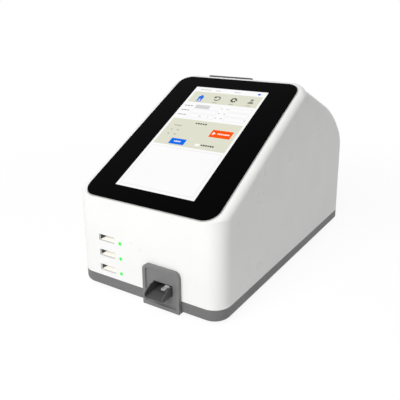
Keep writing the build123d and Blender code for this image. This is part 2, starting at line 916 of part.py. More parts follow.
def tray_pinion():
    """The pinion, with involute teeth, a hub above and a bore for the motor's shaft."""
    pitch = gear_module * pinion_teeth / 2
    base = pitch * cos(radians(pressure_angle))
    tip = pitch + gear_module
    root = pitch - 1.25 * gear_module
    half_tooth = pi / 2 / pinion_teeth - tooth_backlash / 2 / pitch
    lead = tan(radians(pressure_angle)) - radians(pressure_angle)
    lines = []
    step = 2 * pi / pinion_teeth
    ends = []
    for i in range(pinion_teeth):
        centre = pi + (i + 0.5) * step
        start = centre - half_tooth - lead
        low = involute_point(base, base, start)
        middle = involute_point(base, (base + tip) / 2, start)
        high = involute_point(base, tip, start)
        foot = (root * cos(start), root * sin(start))
        back = [mirrored(p, centre) for p in (high, middle, low, foot)]
        lines += [Line(foot, low), ThreePointArc(low, middle, high), Line(high, back[0])]
        lines += [ThreePointArc(*back[:3]), Line(back[2], back[3])]
        ends.append((foot, back[3]))
    for i in range(pinion_teeth):
        lines.append(Line(ends[i][1], ends[(i + 1) % pinion_teeth][0]))
    gear = extrude(make_face(lines), gear_face)
    gear += extrude(Circle(hub_radius), gear_face + hub_height)
    gear -= extrude(Circle(shaft_radius), gear_face + hub_height + 1)
    return Pos(pinion_x(), pinion_y, gear_low) * gear


def motor_shaft():
    """The motor's shaft, pressed into the pinion and running in the motor."""
    length = motor_low() + shaft_hold - gear_low + motor_neck
    return rod(shaft_radius, (pinion_x(), pinion_y, gear_low - motor_neck), (0, 0, 1), length)


def motor_low():
    """The height of the motor's face, on its mount above the guide."""
    return guide_top() + motor_clearance + mount_sheet


def guide_top():
    return inner_wall_top + slide_gap + guide_lid


def tray_motor():
    """The stepper motor: a square can with cut corners, a pilot below and a bore for the shaft."""
    low = motor_low()
    can = extrude(Rectangle(motor_size, motor_size), motor_height)
    can = chamfer(can.edges().filter_by(Axis.Z), motor_corner)
    neck = motor_size - 2 * motor_neck
    groove = extrude(Rectangle(motor_size + 1, motor_size + 1), motor_height - 2 * motor_band)
    groove -= extrude(RectangleRounded(neck, neck, motor_corner), motor_height)
    can -= Pos(0, 0, motor_band) * groove
    can += Pos(0, 0, -motor_pilot_height) * extrude(Circle(motor_pilot_radius), motor_pilot_height + 1)
    bore = extrude(Circle(shaft_radius + pin_play), shaft_hold + motor_pilot_height + motor_neck)
    can -= Pos(0, 0, -motor_pilot_height) * bore
    return Pos(pinion_x(), pinion_y, low) * can


def motor_mount():
    """A bent steel bracket that holds the motor over the tray, with its foot on the deck."""
    low = motor_low() - mount_sheet
    reach = motor_size / 2 + 1
    x = (pinion_x() - reach, pinion_x() + reach + mount_sheet)
    y = (pinion_y - reach, pinion_y + reach)
    bracket = block(x, y, (low, motor_low()))
    bracket += block((x[1] - mount_sheet, x[1]), y, (deck_top, motor_low()))
    bracket += block((x[1] - mount_sheet, x[1] + mount_foot), y, (deck_top, deck_top + mount_sheet))
    hole = rod(motor_pilot_radius + pin_play, (pinion_x(), pinion_y, low - 1), (0, 0, 1), 2 * mount_sheet)
    return bracket - hole


def tray_guide():
    """The channel that the tray slides in, with lips over the tray's walls and a gap for the pinion."""
    left = tray_x - tray_width / 2 - slide_gap
    right = rack_root() + 2.25 * gear_module + slide_gap
    y = (guide_front, guide_rear)
    top = guide_top()
    channel = block((left - guide_wall, right + guide_wall), y, (deck_top, top))
    channel -= block((left, right), (0, 2 * guide_rear), (tray_under - slide_gap, top - guide_lid))
    channel -= block(
        (left + guide_lip, tray_x + tray_width / 2 - guide_lip + slide_gap),
        (0, 2 * guide_rear),
        (tray_under - slide_gap, top + 1),
    )
    reach = gear_module * (pinion_teeth / 2 + 1) + 2 * slide_gap
    window = block(
        (pinion_x() - reach, right + 2 * guide_wall),
        (pinion_y - reach, pinion_y + reach),
        (tray_under - slide_gap, gear_low + gear_face + hub_height + 2 * slide_gap),
    )
    return channel - window


def clip_pin_y():
    return clip_pivot_back - clip_front + clip_length


def card_clip():
    """The small sprung clip over the card, with a knuckle at its rear."""
    right = tray_x + tray_width / 2 - tray_wall - clip_side_gap
    x = (right - clip_width, right)
    y = clip_pin_y()
    low = clip_pin_z - clip_thickness / 2
    pad = block(x, (-clip_front, y), (low, low + clip_thickness))
    pad = fillet(pad.edges().filter_by(Axis.Z).sort_by(Axis.Y)[:2], clip_corner)
    pad += rod(clip_knuckle_radius, (x[0], y, clip_pin_z), (1, 0, 0), clip_width)
    dent = Pos(sum(x) / 2, -clip_front + clip_length / 2) * RectangleRounded(
        clip_width / clip_dent_share, clip_length / clip_dent_share, clip_corner / 2
    )
    pad -= Pos(0, 0, low + clip_thickness * 0.75) * extrude(dent, clip_thickness)
    return pad - rod(clip_pin_radius + pin_play, (x[0] - 1, y, clip_pin_z), (1, 0, 0), clip_width + 2)


def clip_pin():
    """The clip's pin, held in the tray's side wall."""
    right = tray_x + tray_width / 2
    length = tray_wall + clip_side_gap + clip_width
    return rod(clip_pin_radius, (right - length, clip_pin_y(), clip_pin_z), (1, 0, 0), length)


def deck_plate():
    """The steel deck on the base's posts, with two stiffening beads."""
    length = deck_rear - deck_front
    plate = rounded_plate(2 * deck_half_width, length, deck_corner_radius, deck_thickness)
    plate = Pos(0, (deck_front + deck_rear) / 2, deck_under) * plate
    for x, y in post_places():
        plate -= rod(screw_radius + screw_play, (x, y, deck_under - 1), (0, 0, 1), 2 * deck_thickness + 1)
    for x in (-deck_half_width / 7, deck_half_width * 0.9):
        middle = Pos(x, (deck_front + deck_rear) / 2 + bead_shift)
        bead = middle * SlotOverall(bead_length, bead_width, rotation=90)
        plate -= Pos(0, 0, deck_under - 1) * extrude(bead, 2 * deck_thickness + 1)
    return plate


def rack_span():
    """The slot rack's two sides."""
    side = slot_width / 2 + rack_wall
    return (slot_x - side, slot_x + side)


def slot_rack():
    """The three-storey rack behind the front's slots, open at the front, with a wing for the lamps."""
    levels = slot_levels()
    x = rack_span()
    top = levels[0] + slot_height / 2 + rack_wall
    rack = block(x, (wall, wall + slot_depth + rack_wall), (deck_top, top))
    for z in levels:
        low = z - slot_height / 2 - bed_thickness - heater_thickness
        inner = (slot_x - slot_width / 2, slot_x + slot_width / 2)
        rack -= block(inner, (0, wall + slot_depth), (low, z + slot_height / 2))
    rack -= block((x[0] - 1, x[1] + 1), (0, deck_front - fit_gap), (0, rack_front_low))
    board_y = light_board_y() + light_board_thickness
    wing = (x[1] - bite, light_x + light_board_half)
    return rack + block(wing, (board_y, board_y + rack_wall), (deck_top, top))


def slot_beds():
    """Cream card beds, one on the floor of each slot, with a shallow groove across the mouth."""
    beds = []
    for z in slot_levels():
        x = (slot_x - slot_width / 2, slot_x + slot_width / 2)
        top = z - slot_height / 2
        bed = block(x, (wall, wall + slot_depth), (top - bed_thickness, top))
        bed -= block(x, (bed_groove, bed_groove + bed_groove_width), (top - bed_groove_depth, top + 1))
        beds.append(bed)
    return beds


def slot_heaters():
    """An aluminium heater plate under each card bed."""
    plates = []
    for z in slot_levels():
        x = (slot_x - slot_width / 2, slot_x + slot_width / 2)
        top = z - slot_height / 2 - bed_thickness
        plates.append(block(x, (deck_front, wall + slot_depth), (top - heater_thickness, top)))
    return plates


def light_board_y():
    return light_length - light_dome


def status_lights():
    """Three light pipes through the front, each with a domed end."""
    pipes = []
    for z in slot_levels():
        pipe = rod(light_radius, (light_x, -light_dome, z - light_drop), (0, 1, 0), light_length)
        pipes.append(fillet(pipe.faces().sort_by(Axis.Y)[0].edges(), light_dome))
    return pipes


def light_board():
    """The board behind the light pipes, on the rack's wing."""
    levels = slot_levels()
    y = light_board_y()
    x = (light_x - light_board_half, light_x + light_board_half)
    return block(x, (y, y + light_board_thickness), (deck_top + 1, levels[0] + slot_height / 2))


def head_low():
    return guide_top() + head_gap


def head_middle():
    return head_front + head_length / 2


def lamp_axis():
    """Where the tilted lamp bore starts, and its direction down to the card."""
    tilt = radians(lamp_tilt)
    way = Vector(0, -sin(tilt), -cos(tilt))
    focus = Vector(tray_x, head_middle(), tray_under + tray_floor)
    return focus - way * lamp_distance, way


def reading_head():
    """The optics block: an upright bore for lens and filter and a tilted bore for the lamp."""
    side = head_width / 2
    x = (tray_x - side, tray_x + side)
    low = head_low()
    head = block(x, (head_front, head_front + head_length), (low, low + head_height))
    upper = head.edges().group_by(Axis.Z)[-1]
    head = chamfer(upper, head_chamfer)
    head -= rod(barrel_radius, (tray_x, head_middle(), low - 1), (0, 0, 1), head_height + 2)
    start, way = lamp_axis()
    return head - rod(lamp_radius + fit_gap / 3, start - way * lamp_length, way, lamp_length + lamp_distance)


def objective_lens():
    """The lens at the foot of the upright bore: a flat-backed dome."""
    dome = sphere_cap(barrel_radius, lens_thickness)
    return Pos(tray_x, head_middle(), head_low() + lens_raise) * dome


def sphere_cap(radius, height):
    """A lens of one flat and one round face, on a rim."""
    rim = height / 3
    rise = height - rim
    ball = (radius ** 2 + rise ** 2) / 2 / rise
    cap = Pos(0, 0, rim + rise - ball) * Sphere(ball)
    return cap & extrude(Circle(radius), height + 1)


def emission_filter():
    """The colour filter disc above the lens."""
    z = head_low() + head_height * 0.6
    return rod(barrel_radius, (tray_x, head_middle(), z), (0, 0, 1), filter_thickness)


def excitation_lamp():
    """The lamp in the tilted bore, with a finned cap."""
    start, way = lamp_axis()
    lamp = rod(lamp_radius, start - way * lamp_cap, way, lamp_length)
    for i in range(lamp_fins):
        at = start - way * (lamp_cap + i * lamp_fin_pitch)
        lamp += rod(lamp_radius + lamp_fin_reach, at, way, lamp_fin_pitch / 2)
        lamp += rod(lamp_radius, at, way, lamp_fin_pitch)
    return lamp


def light_sensor():
    """The sensor board that closes the upright bore, with its shielding can."""
    low = head_low() + head_height
    middle = Pos(tray_x, head_middle() - sensor_shift, low)
    side = sensor_size + 2 * sensor_board_margin
    board = extrude(Rectangle(side, side), light_board_thickness)
    can = extrude(RectangleRounded(sensor_size, sensor_size, sensor_can_corner), sensor_height)
    return middle * (board + can)


def head_bridge():
    """Two bent steel legs that carry the reading head over the tray guide."""
    legs = []
    top = head_low() + head_height - head_chamfer - 1
    y = (head_front + bridge_inset, head_front + head_length - bridge_inset)
    for side in (-1, 1):
        inner = tray_x + side * head_width / 2
        leg = block(sorted((inner, inner + side * bridge_sheet)), y, (deck_top, top))
        foot = sorted((inner, inner + side * bridge_foot))
        legs.append(leg + block(foot, y, (deck_top, deck_top + bridge_sheet)))
    return legs


def board_front():
    return body_depth - wall - board_rear_gap - board_length


def main_board():
    """The main circuit board with its larger components."""
    x = (board_x - board_width / 2, board_x + board_width / 2)
    y = (board_front(), board_front() + board_length)
    top = board_z + board_thickness
    board = block(x, y, (board_z, top))
    for place in board_standoff_places():
        board -= rod(screw_radius, (place[0], place[1], board_z - 1), (0, 0, 1), 2 * board_thickness)
    for dx, dy, width, length, height in board_parts:
        middle = (board_x + dx * board_width, board_front() + dy * board_length)
        span_x = (middle[0] - width / 2, middle[0] + width / 2)
        span_y = (middle[1] - length / 2, middle[1] + length / 2)
        board += block(span_x, span_y, (top - bite, top + height))
    return board


def board_standoff_places():
    side = board_width / 2 - 2 * standoff_radius
    ends = (board_front() + 2 * standoff_radius, board_front() + board_length - 4 * standoff_radius)
    return [(board_x + s * side, y) for s in (-1, 1) for y in ends]


def board_standoffs():
    """Threaded pillars between the base's floor and the main board."""
    return [
        rod(standoff_radius, (x, y, wall), (0, 0, 1), board_z - wall)
        + rod(screw_radius, (x, y, board_z - bite), (0, 0, 1), board_thickness + 2)
        for x, y in board_standoff_places()
    ]


def power_supply():
    """The enclosed power supply: a folded sheet case with an open, flanged end."""
    x = (supply_x - supply_width / 2, supply_x + supply_width / 2)
    y = (supply_front, supply_front + supply_length)
    case = block(x, y, (wall, wall + supply_height))
    groove = (y[0] + supply_lip, y[0] + supply_lip + supply_groove)
    top = wall + supply_height
    case -= block((x[0] + supply_sheet, x[1] - supply_sheet), groove, (wall + supply_sheet, top + 1))
    for i in range(supply_fins):
        at = y[0] + supply_length * (0.25 + 0.5 * i / (supply_fins - 1))
        fin = (at - supply_fin_half, at + supply_fin_half)
        case -= block((x[0] + supply_fin_inset, x[1] - supply_fin_inset), fin, (top - supply_sheet, top + 1))
    return case


def fan_front():
    return body_depth - wall - fan_depth


def cooling_fan():
    """The fan's frame: a square ring, three arms and the motor's seat with its spindle."""
    frame = extrude(RectangleRounded(fan_size, fan_size, fan_corner), fan_depth)
    frame -= Pos(0, 0, -1) * extrude(Circle(fan_bore), fan_depth + 2)
    for sx in (-1, 1):
        for sy in (-1, 1):
            place = Pos(sx * fan_screw_pitch, sy * fan_screw_pitch, -1)
            frame -= place * extrude(Circle(screw_radius), fan_depth + 2)
    for i in range(fan_arms):
        arm = Pos(fan_bore / 2 + fan_arm_root, 0) * Rectangle(fan_bore + 2 * fan_arm_root, fan_arm_width)
        frame += Rot(0, 0, i * 360 / fan_arms + 30) * extrude(arm, fan_seat)
    frame += extrude(Circle(fan_hub), fan_seat)
    frame += extrude(Circle(fan_spindle), fan_depth * fan_spindle_share)
    return fan_plane() * frame


def fan_plane():
    """The fan looks along +Y from its inner face."""
    return Plane(origin=(fan_x, fan_front(), fan_z), x_dir=(1, 0, 0), z_dir=(0, 1, 0))


def fan_rotor():
    """The fan's hub and its pitched blades."""
    low = fan_seat + blade_gap / 2
    high = fan_depth - blade_gap
    height = high - low
    rotor = extrude(Circle(fan_hub), height)
    rotor = fillet(rotor.faces().sort_by(Axis.Z)[-1].edges(), fan_hub_round)
    blade = Rot(blade_pitch, 0, 0) * Box(fan_bore, blade_chord, blade_thickness)
    ring = extrude(Circle(fan_bore - blade_gap), height)
    for i in range(fan_blades):
        place = Rot(0, 0, i * 360 / fan_blades) * Pos(fan_bore / 2 + fan_arm_root, 0, height / 2)
        rotor += (place * blade) & ring
    rotor -= extrude(Circle(fan_spindle + pin_play), fan_depth * fan_spindle_share)
    return fan_plane() * Pos(0, 0, low) * rotor


def power_inlet():
    """The mains inlet: a flange on the back and a socket with two cut corners."""
    x = (inlet_x - inlet_width / 2, inlet_x + inlet_width / 2)
    z = (inlet_z - inlet_height / 2, inlet_z + inlet_height / 2)
    margin = inlet_flange_margin
    outside = body_depth + inlet_flange
    flange = block((x[0] - margin, x[1] + margin), (body_depth, outside), (z[0] - margin, z[1] + margin))
    flange = fillet(flange.edges().filter_by(Axis.Y), inlet_flange_margin)
    body = flange + block(x, (outside - inlet_depth, outside - bite), z)
    hollow = block(
        (x[0] + inlet_wall, x[1] - inlet_wall),
        (outside - inlet_depth + inlet_wall, outside + 1),
        (z[0] + inlet_wall, z[1] - inlet_wall),
    )
    corners = hollow.edges().filter_by(Axis.Y).sort_by(Axis.Z)[-2:]
    return body - chamfer(corners, inlet_corner)


def inlet_pins():
    """Three flat contact pins; the middle one stands higher."""
    floor = body_depth + inlet_flange - inlet_depth + inlet_wall
    pins = []
    for offset, rise in ((-1, -1), (0, 1), (1, -1)):
        x = inlet_x + offset * pin_pitch
        z = inlet_z + rise * pin_rise
        pin = block(
            (x - pin_width / 2, x + pin_width / 2),
            (floor, floor + pin_reach),
            (z - pin_length / 2, z + pin_length / 2),
        )
        pins.append(chamfer(pin.faces().sort_by(Axis.Y)[-1].edges(), pin_width / 4))
    return pins


def switch_frame():
    """The frame of the power switch, snapped into the back."""
    x = (switch_x - switch_width / 2, switch_x + switch_width / 2)
    z = (switch_z - switch_height / 2, switch_z + switch_height / 2)
    outside = body_depth + switch_flange
    margin = inlet_flange_margin / 2
    frame = block((x[0] - margin, x[1] + margin), (body_depth, outside), (z[0] - margin, z[1] + margin))
    frame += block(x, (outside - switch_depth, outside - bite), z)
    side = rocker_width / 2 + rocker_gap
    tall = rocker_tall / 2 + rocker_room
    frame -= block(
        (switch_x - side, switch_x + side),
        (outside - switch_depth + inlet_wall, outside + 1),
        (switch_z - tall, switch_z + tall),
    )
    length = rocker_width + 2 * rocker_stub + 2 * pin_play
    start = (switch_x - length / 2, rocker_y(), switch_z)
    return frame - rod(rocker_stub_radius + pin_play, start, (1, 0, 0), length)


def rocker_y():
    return body_depth - rocker_set_back


def switch_rocker():
    """The rocker, tilted to its off side, with two short pivots."""
    tall = rocker_tall / 2
    outline = Polyline(
        (0, rocker_dip, 0),
        (0, rocker_crest, tall - rocker_edge),
        (0, rocker_shoulder, tall),
        (0, -rocker_belly, tall / 3),
        (0, -rocker_belly, -tall / 3),
        (0, rocker_shoulder, -tall),
        (0, rocker_crest, -tall + rocker_edge),
        close=True,
    )
    rocker = extrude(make_face(outline), rocker_width / 2, dir=(1, 0, 0), both=True)
    length = rocker_width + 2 * rocker_stub
    rocker += rod(rocker_stub_radius, (-length / 2, 0, 0), (1, 0, 0), length)
    return Pos(switch_x, rocker_y(), switch_z) * Rot(rocker_tilt, 0, 0) * rocker


def usb_sockets():
    """Metal shells with a tongue, standing on the main board's edge."""
    sockets = []
    outside = body_depth + socket_proud
    for x, width, low, height in rear_sockets()[:-1]:
        inner = (x - width / 2 + socket_sheet, x + width / 2 - socket_sheet)
        top = low + height - socket_sheet
        shell = block((x - width / 2, x + width / 2), (outside - usb_depth, outside), (low, low + height))
        shell -= block(inner, (outside - usb_depth + usb_back, outside + 1), (low + socket_sheet, top))
        tongue_y = (outside - usb_depth + 1, outside - usb_back)
        sockets.append(shell + block(inner, tongue_y, (top - usb_tongue, top + bite)))
    return sockets


def network_socket():
    """The network socket: a shielded box with a stepped mouth."""
    x, width, low, height = rear_sockets()[-1]
    outside = body_depth + socket_proud
    shell = block((x - width / 2, x + width / 2), (outside - network_depth, outside), (low, low + height))
    depth = (outside - network_depth + network_back, outside + 1)
    mouth = (x - width / 2 + network_side, x + width / 2 - network_side)
    shell -= block(mouth, depth, (low + network_step, low + height - network_side))
    latch = (low + network_floor, low + network_step + bite)
    return shell - block((x - width / 4, x + width / 4), depth, latch)


def printer_bucket():
    """The drop-in paper trough with its flange, hinge ears and knuckle groove."""
    inner = bucket_width / 2
    bucket = block((-bucket_half, bucket_half), (roll_v - trough, roll_v + trough), (-roll_depth, bite))
    bucket += rod(trough, (-bucket_half, roll_v, -roll_depth), (1, 0, 0), 2 * bucket_half)
    flange_mid = (flange_front + flange_rear) / 2
    plate = rounded_plate(
        2 * (bucket_half + flange_side), flange_rear - flange_front, flange_corner, flange_height
    )
    plate = chamfer(plate.faces().sort_by(Axis.Z)[-1].edges(), flange_height / 3)
    bucket += Pos(0, flange_mid, 0) * plate
    for side in (-1, 1):
        x = side * (lid_width / 2 + ear_gap)
        start = (min(x, x + side * ear_width), hinge_v, hinge_w)
        bucket += rod(knuckle_radius, start, (1, 0, 0), ear_width)
        ear = sorted((x, x + side * ear_width))
        bucket += block(ear, (hinge_v - knuckle_radius, hinge_v + knuckle_radius), (0, hinge_w))
    room = roll_radius + roll_gap
    bucket -= block((-inner, inner), (roll_v - room, roll_v + room), (-roll_depth, 2 * flange_height))
    bucket -= rod(room, (-inner, roll_v, -roll_depth), (1, 0, 0), 2 * inner)
    groove = lid_width / 2 + ear_gap
    bucket -= rod(knuckle_radius + 2 * fit_gap, (-groove, hinge_v, hinge_w), (1, 0, 0), 2 * groove)
    reach = groove + ear_width
    bucket -= rod(hinge_pin_radius, (-reach - 1, hinge_v, hinge_w), (1, 0, 0), 2 * reach + 2)
    return printer_plane * bucket


def printer_lid():
    """The lid: a plate with knuckles, arms for the platen and a raised, flared finger tab."""
    side = lid_width / 2
    low = flange_height + lid_gap
    w = (low, low + lid_thickness)
    lid = block((-side, side), (lid_front, hinge_v - knuckle_radius - lid_gap), w)
    for s in (-1, 1):
        x = sorted((s * (side - knuckle_length), s * side))
        lid += block(x, (hinge_v - 2 * knuckle_radius, hinge_v), w)
        lid += rod(knuckle_radius, (x[0], hinge_v, hinge_w), (1, 0, 0), knuckle_length)
        outer = bucket_width / 2 - arm_gap
        arm_x = sorted((s * outer, s * (outer - arm_thickness)))
        lid += block(arm_x, (platen_v - arm_reach, platen_v + arm_reach), (platen_w, low + 0.5))
        lid += rod(arm_reach, (arm_x[0], platen_v, platen_w), (1, 0, 0), arm_thickness)
    lid += lid_tab()
    reach = side + 1
    lid -= rod(hinge_pin_radius + pin_play, (-reach, hinge_v, hinge_w), (1, 0, 0), 2 * reach)
    lid -= rod(platen_shaft_radius + pin_play, (-reach, platen_v, platen_w), (1, 0, 0), 2 * reach)
    return printer_plane * lid


def lid_tab():
    """The finger tab, wider at its tip, rising towards the ridge."""
    root_w = flange_height + lid_gap + lid_thickness
    along = Vector(0, tab_root_v - tab_tip_v, root_w - tab_tip_w)
    up = Vector(0, -along.Z, along.Y)
    plane = Plane(origin=(0, tab_tip_v, tab_tip_w), x_dir=(1, 0, 0), z_dir=up)
    tip = lid_width / 2 + tab_flare
    root = tip - tab_taper
    sketch = make_face(
        Polyline((-tip, 0), (tip, 0), (root, along.length), (-root, along.length), close=True)
    )
    sketch = fillet(sketch.vertices().sort_by(Axis.Y)[:2], tab_corner)
    return plane * extrude(sketch, -tab_thickness)


def lid_pin():
    """The lid's hinge pin, held in the ears."""
    reach = lid_width / 2 + ear_gap + ear_width
    return printer_plane * rod(hinge_pin_radius, (-reach, hinge_v, hinge_w), (1, 0, 0), 2 * reach)


def platen_roller():
    """The rubber roller that feeds the paper."""
    sleeve = rod(platen_radius, (-platen_length / 2, platen_v, platen_w), (1, 0, 0), platen_length)
    bore = rod(platen_shaft_radius, (-platen_length, platen_v, platen_w), (1, 0, 0), 2 * platen_length)
    return printer_plane * (sleeve - bore)


def platen_shaft():
    """The roller's shaft, which runs in the lid's arms."""
    reach = bucket_width / 2 - arm_gap
    shaft = rod(platen_shaft_radius, (-reach, platen_v, platen_w), (1, 0, 0), 2 * reach)
    for s in (-1, 1):
        inner = reach - arm_thickness - shaft_collar_gap
        start = (min(s * inner, s * platen_length / 2), platen_v, platen_w)
        shaft += rod(2 * platen_shaft_radius, start, (1, 0, 0), inner - platen_length / 2)
    return printer_plane * shaft


def print_head():
    """The thermal head on the trough's front wall, just below the roller's middle."""
    back = roll_v - roll_radius - roll_gap
    face = platen_v - platen_radius - platen_gap
    span = (-print_head_width / 2, print_head_width / 2)
    head = block(span, (back, face), (print_head_bottom, print_head_top))
    return printer_plane * head


def tear_bar():
    """The toothed steel strip that paper is torn against."""
    back = roll_v - roll_radius - roll_gap
    v = (back - tear_bar_depth, back)
    count = tear_teeth
    width = bucket_width - 2
    pitch = width / count
    top = flange_height + tear_bar_height
    points = [(0, -width / 2, flange_height), (0, -width / 2, top - tear_bar_bite)]
    for i in range(count):
        y = -width / 2 + i * pitch
        points += [(0, y + pitch / 2, top), (0, y + pitch, top - tear_bar_bite)]
    points.append((0, width / 2, flange_height))
    bar = extrude(make_face(Polyline(*points, close=True)), v[1] - v[0], dir=(1, 0, 0))
    return printer_plane * Pos(0, v[1], 0) * Rot(0, 0, -90) * bar


def paper_roll():
    """The roll of receipt paper, with its open core."""
    start = (-roll_length / 2, roll_v, -roll_depth)
    roll = rod(roll_radius, start, (1, 0, 0), roll_length)
    bore = rod(roll_core_radius, (-roll_length, roll_v, -roll_depth), (1, 0, 0), 2 * roll_length)
    return printer_plane * (roll - bore)


nodes = [
    upper_housing, base_tray, rubber_feet, base_screws, cover_glass, glass_seal, display_panel,
    display_bracket, bracket_screws, door_surround, card_tray, card_clip, clip_pin, tray_guide,
    deck_plate, deck_screws, tray_pinion, motor_shaft, tray_motor, motor_mount, reading_head,
    objective_lens, emission_filter, excitation_lamp, light_sensor, head_bridge, slot_rack,
    slot_beds, slot_heaters, status_lights, light_board, main_board, board_standoffs, power_supply,
    cooling_fan, fan_rotor, power_inlet, inlet_pins, switch_frame, switch_rocker, usb_sockets,
    network_socket, printer_bucket, printer_lid, lid_pin, platen_roller, platen_shaft, print_head,
    tear_bar, paper_roll,
]

os.makedirs("parts", exist_ok=True)
for make in nodes:
    made = make()
    solids = [s for piece in made for s in piece.solids()] if isinstance(made, list) else made.solids()
    shape = Compound(children=[row_place * s for s in solids]) if len(solids) > 1 else row_place * solids[0]
    export_step(shape, os.path.join("parts", make.__name__ + ".step"))
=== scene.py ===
"""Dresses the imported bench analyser: finishes for every CAD node, the lit touch screen page on the
slope, the marks of the power rocker, a plain floor, soft light and the photograph's camera."""

import math

import bmesh
import bpy
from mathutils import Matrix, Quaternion, Vector


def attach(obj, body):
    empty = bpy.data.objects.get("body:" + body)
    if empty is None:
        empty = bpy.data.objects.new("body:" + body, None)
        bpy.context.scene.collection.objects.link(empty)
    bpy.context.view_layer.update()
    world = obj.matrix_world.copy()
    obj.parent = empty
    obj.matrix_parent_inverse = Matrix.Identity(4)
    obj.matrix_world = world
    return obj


MM = 0.001

# Camera: place and aim in metres, focal length and sensor in mm, roll in degrees
CAMERA_AT = (0.31271, -0.51785, 0.28818)
CAMERA_AIM = (0.033855, -0.0541, 0.137176)
CAMERA_ROLL = 0.192
FOCAL_LENGTH = 46.46
SENSOR = 36.0
SHIFT = (-0.06, -0.105)
NEAR_CLIP = 0.01

# Light and floor: metres and watts; the floor's drop is in mm
KEY_FROM = (0.0, -0.8, 0.6)
KEY_DISTANCE = 1.8
KEY_SIZE = 1.3
KEY_WATTS = 26.5
KEY_AIM_HEIGHT = 0.1
SKY_LEVEL = 0.33
FLOOR_SIZE = 8.0
FLOOR_DROP = 0.1
FLOOR_WHITE = "#E4E4E4"
FLOOR_SHADOW_SHARE = 0.14
FLOOR_LEVEL = 1.06
SHADOW_NEAR = 0.30
SHADOW_FAR = 0.75

# The slope: where its lower edge is and how far it leans back
SLOPE_ANGLE = math.radians(28.5)
SLOPE_FOOT = (-154.1, 105.0)
GLASS_TOP = 1.0

# The page on the screen, in mm across (x) and up the slope (u)
PAGE = (-49.7, 49.7, 21.4, 198.0)
HEADER = (-46.4, 46.8, 167.7, 188.7)
START_BLOCK = (-46.4, 46.8, 90.4, 135.8)
LOWER_FRAME = (-45.6, 46.0, 25.0, 87.2)
ICON_LEVEL = 178.2
LABEL_LEVEL = 170.2
ROW_LEVELS = (160.3, 151.8, 143.3)

# The page's parts: edges of its layers over the glass, line widths and the form's fields, in mm
LAYER_EDGES = (-0.01, 0.02, 0.035, 0.05, 0.065)
FRAME_LINE = 0.45
FIELD_LINE = 0.35
LEFT_FIELD = (-30.4, 3.6)
RIGHT_FIELD = (17.4, 45.2)
FIELD_BELOW = 3.6
FIELD_ABOVE = 3.4
STATUS_LEVEL = 193.0

# Gloss left on coated glass, the light that the lamps' pipes give off, and painted light on the slot
# floors: a glow that stands in for the light reaching them
COATED_GLOSS = 0.015
PIPE_GLOW = 0.85
BED_PAINTED_LIGHT = 0.6

# Rocker of the power switch: pivot in the row frame and the two half faces' ends, in mm
ROCKER_PIVOT = (58.0, 166.5, 78.5)
ROCKER_TILT = math.radians(8.0)
ROCKER_DIP = (2.2, 0.0)
ROCKER_CREST = (4.4, 7.2)
INK_EDGES = (-0.02, 0.04)


def linear(hex_colour):
    """An sRGB hex value as linear red, green, blue and alpha."""
    parts = [int(hex_colour[i:i + 2], 16) / 255 for i in (1, 3, 5)]
    curve = [c / 12.92 if c <= 0.04045 else ((c + 0.055) / 1.055) ** 2.4 for c in parts]
    return (*curve, 1.0)


def per_metre(millimetres):
    """A pattern's scale in metres' space for a real size in millimetres."""
    return 1000.0 / millimetres


def add_node(tree, kind, values=(), links=(), **settings):
    """Adds a node: settings are its options, values its sockets' values, links what feeds them."""
    made = tree.nodes.new(kind)
    for name, value in settings.items():
        setattr(made, name, value)
    for socket, value in dict(values).items():
        made.inputs[socket].default_value = value
    for socket, source in dict(links).items():
        tree.links.new(source, made.inputs[socket])
    return made


def finish(name, colour, **shader_values):
    """A material with one surface shader; returns it with its tree and shader."""
    material = bpy.data.materials.new(name)
    material.use_nodes = True
    tree = material.node_tree
    tree.nodes.clear()
    shader = add_node(tree, "ShaderNodeBsdfPrincipled", {"Base Color": linear(colour)})
    for socket, value in shader_values.items():
        shader.inputs[socket.replace("_", " ")].default_value = value
    add_node(tree, "ShaderNodeOutputMaterial", links={"Surface": shader.outputs[0]})
    return material, tree, shader


def place_of(tree):
    """The point on the piece, in metres, that every pattern is drawn in."""
    return add_node(tree, "ShaderNodeTexCoord").outputs["Object"]


def mottle(tree, shader, light, dark, size_mm, stretch=(1, 1, 1), detail=3.0):
    """Slow change of colour over the surface, between two near shades."""
    spread = add_node(tree, "ShaderNodeMapping", {"Scale": stretch}, {"Vector": place_of(tree)})
    noise = add_node(
        tree, "ShaderNodeTexNoise", {"Scale": per_metre(size_mm), "Detail": detail},
        {"Vector": spread.outputs[0]},
    )
    ramp = add_node(tree, "ShaderNodeValToRGB", links={"Fac": noise.outputs["Fac"]})
    ramp.color_ramp.elements[0].position = 0.35
    ramp.color_ramp.elements[0].color = linear(dark)
    ramp.color_ramp.elements[1].position = 0.65
    ramp.color_ramp.elements[1].color = linear(light)
    tree.links.new(ramp.outputs["Color"], shader.inputs["Base Color"])
    return noise


def grain(tree, shader, size_mm, depth_mm, strength=0.4, stretch=(1, 1, 1), detail=2.0):
    """Fine height over the surface: eroded mould grain, brushing or orange peel."""
    spread = add_node(tree, "ShaderNodeMapping", {"Scale": stretch}, {"Vector": place_of(tree)})
    noise = add_node(
        tree, "ShaderNodeTexNoise", {"Scale": per_metre(size_mm), "Detail": detail},
        {"Vector": spread.outputs[0]},
    )
    bump = add_node(
        tree, "ShaderNodeBump", {"Strength": strength, "Distance": depth_mm * MM},
        {"Height": noise.outputs["Fac"]},
    )
    tree.links.new(bump.outputs["Normal"], shader.inputs["Normal"])


